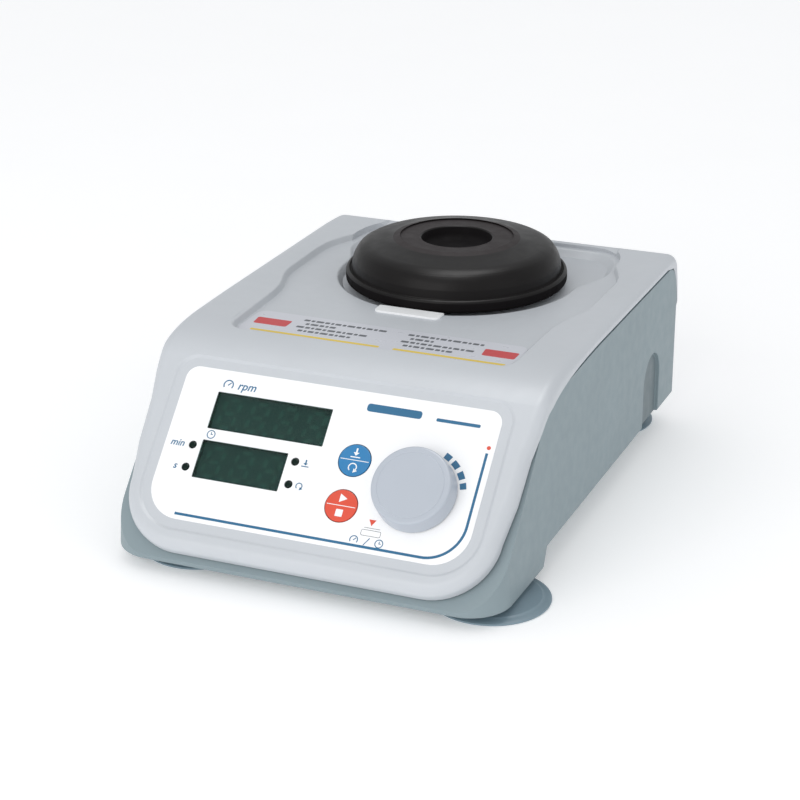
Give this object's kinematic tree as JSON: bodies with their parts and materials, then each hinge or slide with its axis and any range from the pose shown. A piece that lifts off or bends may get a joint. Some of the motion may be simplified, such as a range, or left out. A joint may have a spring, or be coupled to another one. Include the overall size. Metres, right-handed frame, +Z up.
{
  "type": "vortex mixer",
  "caption": "Bench vortex mixer: low wedge casing, sloped digital panel with knob and keys, black rubber cup platform, suction feet.",
  "frame": {"origin": "on the bench, under the middle of the bounding box", "axes": "+Z up, +Y from the front panel towards the back, +X to the right seen from the front"},
  "size_m": [0.192, 0.2597, 0.0992],
  "materials": {
    "cover": "fine textured pale grey moulding",
    "base": "fine textured blue-grey moulding",
    "label": "satin white printed overlay",
    "rubber": "satin black moulded rubber",
    "foot": "soft blue-grey rubber",
    "knob": "satin grey moulding",
    "blue_button": "printed blue",
    "red_button": "printed orange-red",
    "window": "smoked green transparent",
    "led": "dark green unlit lens",
    "black_plastic": "black moulded plastic",
    "board": "green circuit board",
    "steel": "machined",
    "aluminium": "machined",
    "copper": "enamelled copper windings"
  },
  "bodies": {
    "root": {"base_shell": "base", "top_cover": "cover", "foot_front_left": "foot", "foot_front_right": "foot", "foot_rear_left": "foot", "foot_rear_right": "foot", "deck_strip": "label", "deck_tab": "label", "deck_seal": "rubber", "front_label": "label", "speed_window": "window", "time_window": "window", "speed_display": "black_plastic", "time_display": "black_plastic", "led_minutes": "led", "led_seconds": "led", "led_touch": "led", "led_continuous": "led", "mode_switch_body": "black_plastic", "start_switch_body": "black_plastic", "encoder_body": "black_plastic", "encoder_nut": "steel", "display_board": "board", "ballast_plate": "steel", "guide_post_left": "steel", "guide_post_right": "steel", "guide_post_rear": "steel", "spring_left": "steel", "spring_right": "steel", "spring_rear": "steel", "switch_bracket": "aluminium", "touch_switch": "black_plastic", "control_board": "board", "power_module": "black_plastic", "filter_capacitor": "black_plastic", "driver_heatsink": "aluminium", "power_inlet": "black_plastic", "fuse_drawer": "black_plastic", "switch_housing": "black_plastic"},
    "carriage": {"motor_plate": "aluminium", "motor_case": "steel", "motor_stator": "copper", "lower_bearing": "steel", "upper_bearing": "steel"},
    "crank": {"motor_shaft": "steel", "motor_rotor": "steel", "eccentric_crank": "steel", "counterweight": "steel", "head_bearing": "steel"},
    "head": {"platform": "rubber", "head_hub": "aluminium"},
    "touch_plunger": {"touch_plunger": "red_button"},
    "encoder": {"encoder_shaft": "aluminium"},
    "knob": {"speed_knob": "knob"},
    "mode_key": {"mode_button": "blue_button", "mode_switch_stem": "black_plastic"},
    "start_key": {"start_button": "red_button", "start_switch_stem": "black_plastic"},
    "rocker": {"power_rocker": "black_plastic"}
  },
  "joints": [
    {"name": "touch_press", "type": "slide", "parent": "root", "child": "carriage", "axis": [0, 0, 1], "range_m": [-0.0015, 0], "stiffness_N_per_m": 2500, "springref_m": 0.012, "deforming": ["spring_left", "spring_right", "spring_rear"]},
    {"name": "switch_press", "type": "slide", "parent": "root", "child": "touch_plunger", "axis": [0, 0, 1], "range_m": [-0.0015, 0]},
    {"name": "motor_spin", "type": "hinge", "parent": "carriage", "child": "crank", "pos_m": [0, 0.05575, 0.05], "axis": [0, 0, 1], "continuous": true},
    {"name": "head_orbit", "type": "hinge", "parent": "crank", "child": "head", "pos_m": [0, 0.05375, 0.064], "axis": [0, 0, 1], "continuous": true},
    {"name": "knob_turn", "type": "hinge", "parent": "root", "child": "encoder", "pos_m": [0.0429, -0.09994, 0.04401], "axis": [0, -0.7254, 0.6884], "continuous": true},
    {"name": "knob_push", "type": "slide", "parent": "encoder", "child": "knob", "axis": [0, 0.7254, -0.6884], "range_m": [0, 0.0005], "stiffness_N_per_m": 4000, "springref_m": -0.0005},
    {"name": "mode_press", "type": "slide", "parent": "root", "child": "mode_key", "axis": [0, 0.7254, -0.6884], "range_m": [0, 0.0004], "stiffness_N_per_m": 3000, "springref_m": -0.0005},
    {"name": "start_press", "type": "slide", "parent": "root", "child": "start_key", "axis": [0, 0.7254, -0.6884], "range_m": [0, 0.0004], "stiffness_N_per_m": 3000, "springref_m": -0.0005},
    {"name": "power_tilt", "type": "hinge", "parent": "root", "child": "rocker", "pos_m": [0.025, 0.1175, 0.046], "axis": [1, 0, 0], "range_deg": [0, 18]}
  ],
  "couplings": [
    {"joint": "switch_press", "follows": "touch_press", "ratio": 1},
    {"joint": "head_orbit", "follows": "motor_spin", "ratio": -1}
  ]
}
